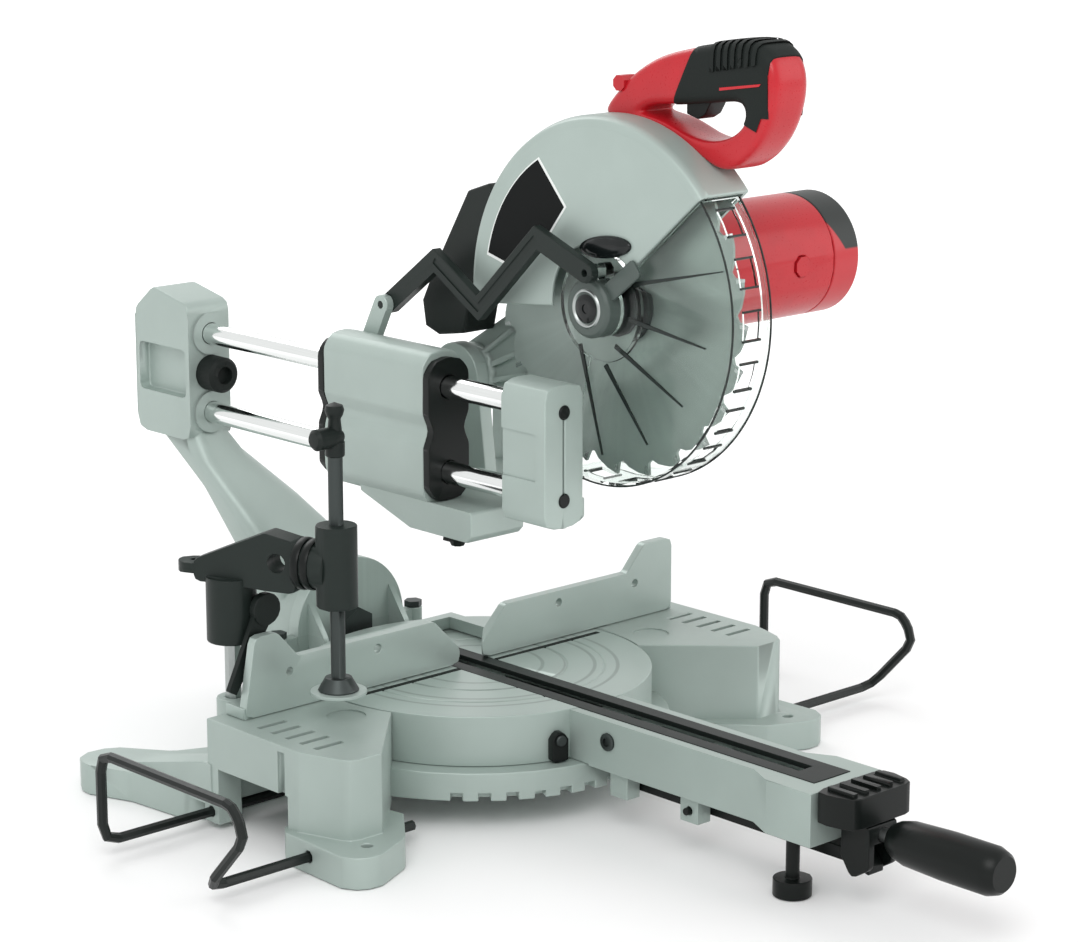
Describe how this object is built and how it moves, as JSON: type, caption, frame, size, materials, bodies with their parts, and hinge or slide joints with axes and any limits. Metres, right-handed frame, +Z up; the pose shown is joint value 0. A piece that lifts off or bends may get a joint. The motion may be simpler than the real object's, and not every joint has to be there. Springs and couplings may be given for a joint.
{
  "type": "sliding mitre saw",
  "caption": "Sliding compound mitre saw with side rails, raised guarded blade, red motor and handle, turning table with long arm, fence, clamp and wire work supports.",
  "frame": {"origin": "on the bench under the middle of the whole saw's outline", "axes": "+Z up, +X to the user's right, -Y to the front along the table arm, +Y to the back"},
  "size_m": [0.708, 0.851, 0.5928],
  "materials": {
    "cast": "satin grey-green paint on cast aluminium",
    "machined": "machined satin aluminium",
    "chrome": "polished",
    "steel": "ground steel",
    "wire": "dark satin lacquer on steel wire",
    "plastic": "fine moulded grain",
    "rubber": "matt",
    "red": "gloss moulded shell",
    "clear": "clear moulded plastic"
  },
  "bodies": {
    "base": {"base_casting": "cast", "fence": "machined", "mitre_pivot_bolt": "steel", "clamp_post": "steel"},
    "wire_left": {"extension_wire_left": "wire"},
    "wire_right": {"extension_wire_right": "wire"},
    "clamp_swing_arm": {"clamp_arm": "plastic"},
    "clamp_sleeve_lock": {"clamp_lever": "plastic"},
    "clamp_spindle": {"clamp_rod": "steel", "clamp_pad": "machined", "clamp_handle": "plastic"},
    "table": {"turntable": "machined", "kerf_plate": "plastic", "wear_strip_left": "rubber", "wear_strip_right": "rubber", "arm_end_cap": "plastic", "mitre_lock_body": "plastic", "mitre_pointer": "plastic", "stop_bolt_left": "steel", "stop_bolt_right": "steel", "bevel_bolt": "steel"},
    "mitre_lock": {"mitre_lock_rod": "steel", "mitre_lock_grip": "plastic"},
    "detent": {"detent_lever": "plastic"},
    "foot": {"arm_foot": "plastic"},
    "tilt": {"tilt_arm": "cast", "rail_upper": "chrome", "rail_lower": "chrome", "rail_bumper": "rubber", "rail_end_cap": "cast"},
    "bevel_lock": {"bevel_lock_knob": "plastic"},
    "slider": {"carriage": "cast", "slide_bush_upper": "steel", "slide_bush_lower": "steel", "seal_plate_front": "plastic", "seal_plate_rear": "plastic", "pivot_pin": "steel"},
    "slide_lock": {"slide_lock_knob": "plastic"},
    "link": {"guard_link": "plastic"},
    "head": {"head_casting": "cast", "dust_port": "plastic", "arbor_cover": "plastic", "motor_housing": "red", "motor_cap": "plastic", "brush_cap_front": "plastic", "brush_cap_rear": "plastic", "handle_shell": "red", "handle_grip": "rubber"},
    "switch": {"trigger": "plastic"},
    "lock_button": {"lock_off_button": "plastic"},
    "arbor": {"spindle": "steel", "saw_blade": "steel", "arbor_bolt": "steel"},
    "guard": {"lower_guard": "clear"}
  },
  "joints": [
    {"name": "mitre_turn", "type": "hinge", "parent": "base", "child": "table", "pos_m": [-0.012, 0.1005, 0.046], "axis": [0, 0, 1], "range_deg": [-45, 45]},
    {"name": "bevel_tilt", "type": "hinge", "parent": "table", "child": "tilt", "pos_m": [-0.012, 0.2565, 0.085], "axis": [0, -1, 0], "range_deg": [0, 15]},
    {"name": "head_slide", "type": "slide", "parent": "tilt", "child": "slider", "axis": [0, -1, 0], "range_m": [-0.144, 0.075]},
    {"name": "head_swing", "type": "hinge", "parent": "slider", "child": "head", "pos_m": [-0.012, 0.1185, 0.314], "axis": [1, 0, 0], "range_deg": [0, 58], "stiffness_Nm_per_rad": 18, "springref_deg": -68.75},
    {"name": "blade_spin", "type": "hinge", "parent": "head", "child": "arbor", "pos_m": [-0.012, -0.0565, 0.393], "axis": [1, 0, 0], "continuous": true},
    {"name": "lower_guard_turn", "type": "hinge", "parent": "head", "child": "guard", "pos_m": [-0.012, -0.0565, 0.393], "axis": [1, 0, 0], "range_deg": [-116, 0]},
    {"name": "guard_link_turn", "type": "hinge", "parent": "slider", "child": "link", "pos_m": [-0.054, 0.1515, 0.371], "axis": [1, 0, 0], "range_deg": [0, 51.89]},
    {"name": "trigger_pull", "type": "hinge", "parent": "head", "child": "switch", "pos_m": [0.009, -0.1045, 0.5607], "axis": [-1, 0, 0], "range_deg": [0, 7], "stiffness_Nm_per_rad": 0.6, "springref_deg": -2.86},
    {"name": "lock_button_press", "type": "slide", "parent": "head", "child": "lock_button", "axis": [1, 0, 0], "range_m": [0, 0.003], "stiffness_N_per_m": 300, "springref_m": -0.001},
    {"name": "slide_lock_turn", "type": "hinge", "parent": "slider", "child": "slide_lock", "pos_m": [-0.062, 0.0665, 0.212], "axis": [0, 0, 1], "range_deg": [0, 90]},
    {"name": "bevel_lock_turn", "type": "hinge", "parent": "table", "child": "bevel_lock", "pos_m": [-0.012, 0.3505, 0.085], "axis": [0, 1, 0], "range_deg": [0, 60]},
    {"name": "mitre_lock_turn", "type": "hinge", "parent": "table", "child": "mitre_lock", "pos_m": [-0.012, -0.3295, 0.055], "axis": [0, 1, 0], "range_deg": [0, 120]},
    {"name": "detent_lift", "type": "hinge", "parent": "table", "child": "detent", "pos_m": [-0.012, -0.1545, 0.035], "axis": [-1, 0, 0], "range_deg": [0, 1.8], "stiffness_Nm_per_rad": 8, "springref_deg": -5.73},
    {"name": "arm_foot_screw", "type": "slide", "parent": "table", "child": "foot", "axis": [0, 0, 1], "range_m": [0, 0.008]},
    {"name": "wire_left_slide", "type": "slide", "parent": "base", "child": "wire_left", "axis": [-1, 0, 0], "range_m": [-0.07, 0.05]},
    {"name": "wire_right_slide", "type": "slide", "parent": "base", "child": "wire_right", "axis": [1, 0, 0], "range_m": [-0.094, 0.026]},
    {"name": "clamp_swing", "type": "hinge", "parent": "base", "child": "clamp_swing_arm", "pos_m": [-0.217, 0.1465, 0.136], "axis": [0, 0, 1], "range_deg": [-90, 0]},
    {"name": "clamp_lock_turn", "type": "hinge", "parent": "clamp_swing_arm", "child": "clamp_sleeve_lock", "pos_m": [-0.205, 0.1247, 0.163], "axis": [0, 1, 0], "range_deg": [0, 60]},
    {"name": "clamp_press", "type": "slide", "parent": "clamp_swing_arm", "child": "clamp_spindle", "axis": [0, 0, 1], "range_m": [-0.02, 0.03]}
  ],
  "couplings": [
    {"joint": "lower_guard_turn", "follows": "head_swing", "ratio": -2},
    {"joint": "guard_link_turn", "follows": "head_swing", "ratio": 0.893}
  ]
}
